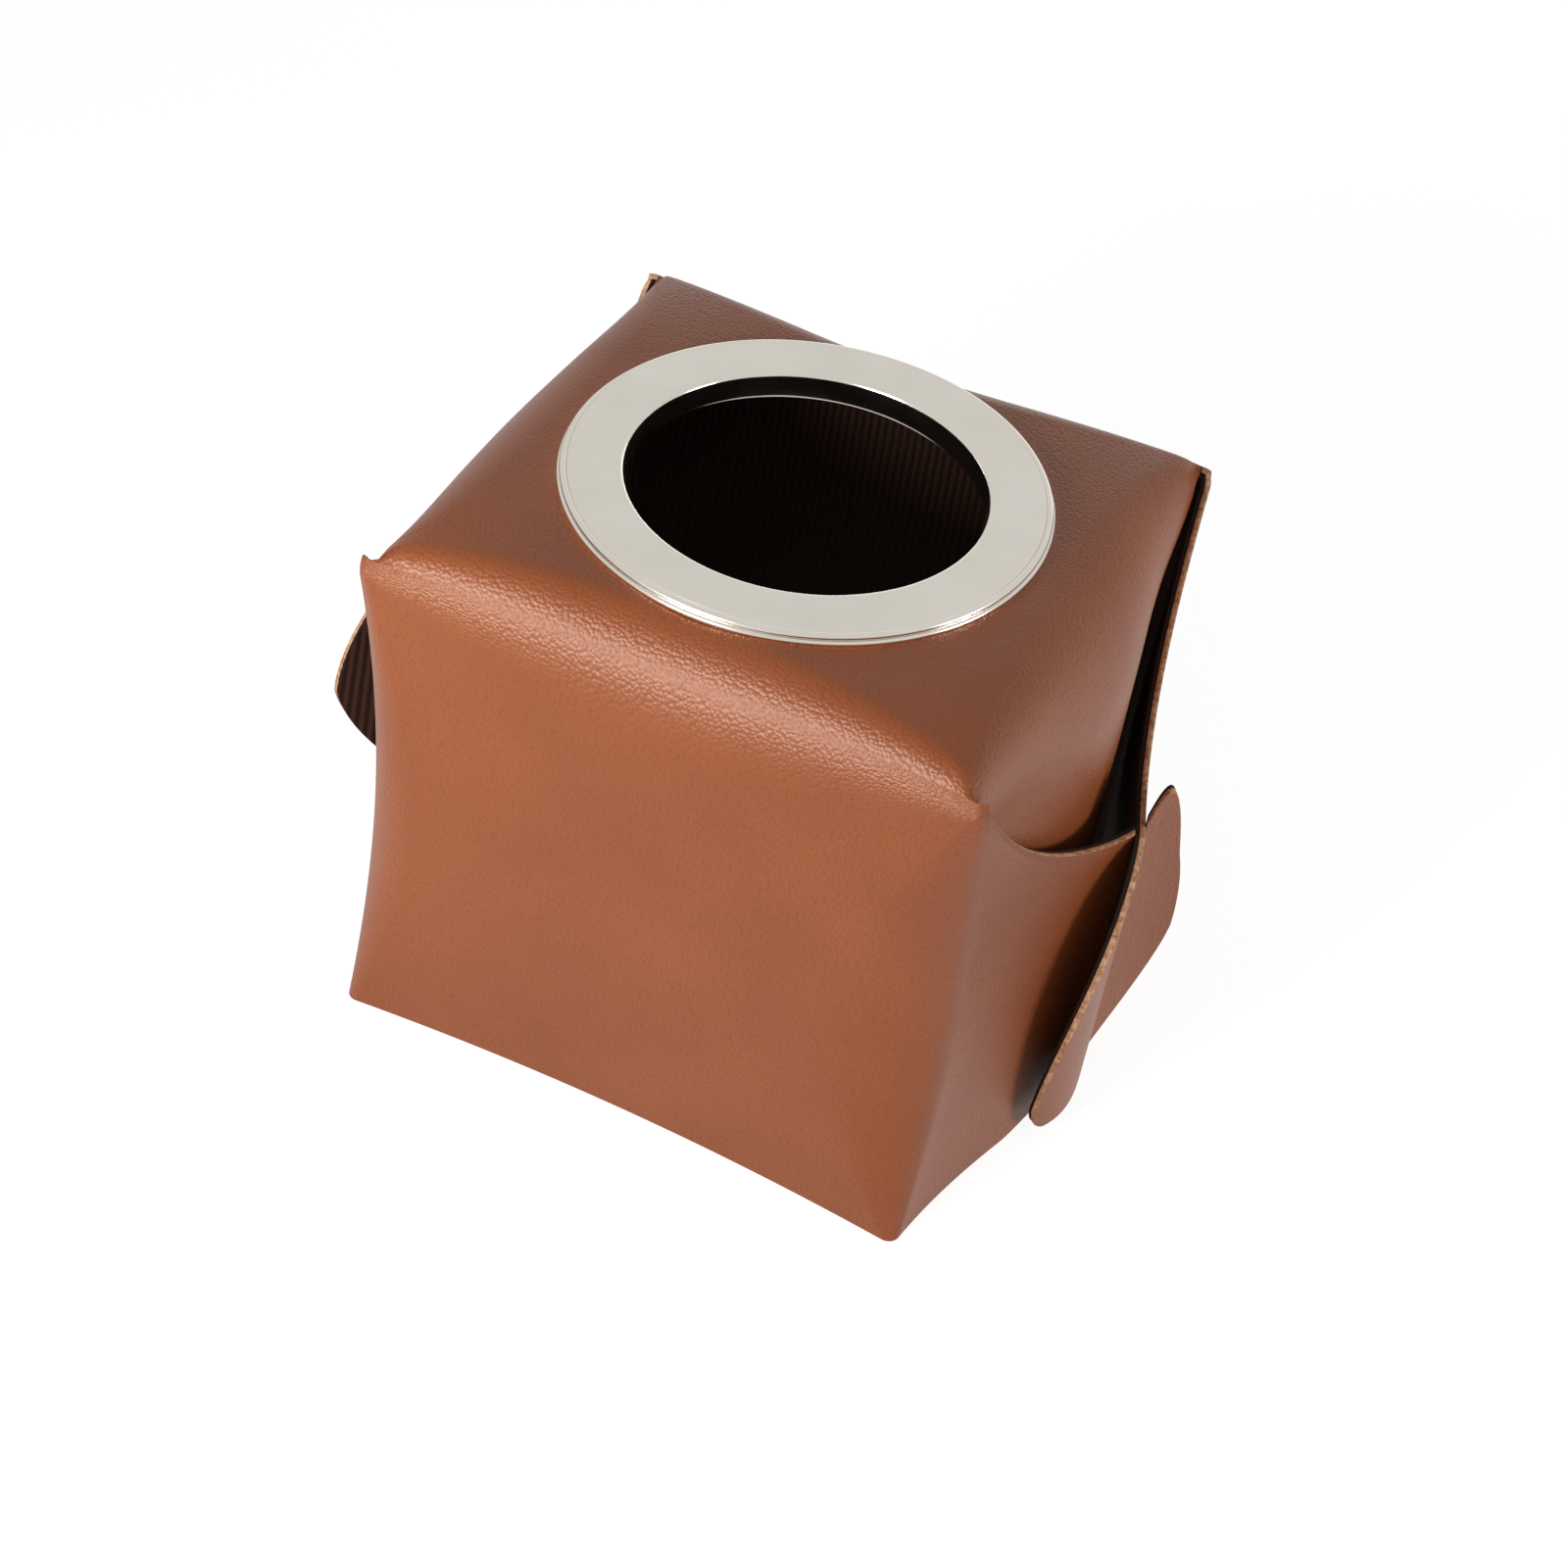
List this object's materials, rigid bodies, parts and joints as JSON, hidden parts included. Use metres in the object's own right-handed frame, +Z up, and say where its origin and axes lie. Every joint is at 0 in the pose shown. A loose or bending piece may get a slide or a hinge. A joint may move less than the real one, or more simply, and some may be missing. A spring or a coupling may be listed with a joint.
{
  "type": "tissue box cover",
  "caption": "Folded leather cover for a cube tissue box, with wings locked by slit tabs at each side, tucked-in side flaps and a metal ring round the opening in its top",
  "frame": {"origin": "On the table, at the centre of the cover's footprint", "axes": "+X runs to the right along the front, +Y to the back and +Z up out of the opening"},
  "size_m": [0.1822, 0.125, 0.1316],
  "materials": {
    "leather": "smooth fine grain, satin",
    "lining": "fine ribbed weave, matte",
    "metal": "polished nickel"
  },
  "bodies": {
    "cover": {"top_leather": "leather", "top_lining": "lining", "front_leather": "leather", "front_lining": "lining", "back_leather": "leather", "back_lining": "lining", "front_right_wing": "leather", "front_right_wing_lining": "lining", "front_left_wing": "leather", "front_left_wing_lining": "lining", "back_right_wing": "leather", "back_right_wing_lining": "lining", "back_left_wing": "leather", "back_left_wing_lining": "lining", "ring": "metal", "backing_ring": "metal"},
    "front_right_tab": {"front_right_tab": "leather", "front_right_tab_lining": "lining"},
    "front_left_tab": {"front_left_tab": "leather", "front_left_tab_lining": "lining"},
    "back_right_tab": {"back_right_tab": "leather", "back_right_tab_lining": "lining"},
    "back_left_tab": {"back_left_tab": "leather", "back_left_tab_lining": "lining"},
    "right_flap": {"right_flap": "leather", "right_flap_lining": "lining"},
    "left_flap": {"left_flap": "leather", "left_flap_lining": "lining"}
  },
  "joints": [
    {"name": "front_right_tab_flex", "type": "hinge", "parent": "cover", "child": "front_right_tab", "pos_m": [0.08234, 0, 0.045], "axis": [0, 0, -1], "range_deg": [0, 35], "stiffness_Nm_per_rad": 0.004},
    {"name": "back_right_tab_flex", "type": "hinge", "parent": "cover", "child": "back_right_tab", "pos_m": [0.08234, 0, 0.045], "axis": [0, 0, 1], "range_deg": [0, 35], "stiffness_Nm_per_rad": 0.004},
    {"name": "back_left_tab_flex", "type": "hinge", "parent": "cover", "child": "back_left_tab", "pos_m": [-0.08234, 0, 0.045], "axis": [0, 0, -1], "range_deg": [0, 35], "stiffness_Nm_per_rad": 0.004},
    {"name": "front_left_tab_flex", "type": "hinge", "parent": "cover", "child": "front_left_tab", "pos_m": [-0.08234, 0, 0.045], "axis": [0, 0, 1], "range_deg": [0, 35], "stiffness_Nm_per_rad": 0.004},
    {"name": "right_flap_flex", "type": "hinge", "parent": "cover", "child": "right_flap", "pos_m": [0.06345, 0, 0.094], "axis": [0, 1, 0], "range_deg": [0, 25], "stiffness_Nm_per_rad": 0.03},
    {"name": "left_flap_flex", "type": "hinge", "parent": "cover", "child": "left_flap", "pos_m": [-0.06345, 0, 0.094], "axis": [0, -1, 0], "range_deg": [0, 25], "stiffness_Nm_per_rad": 0.03}
  ]
}
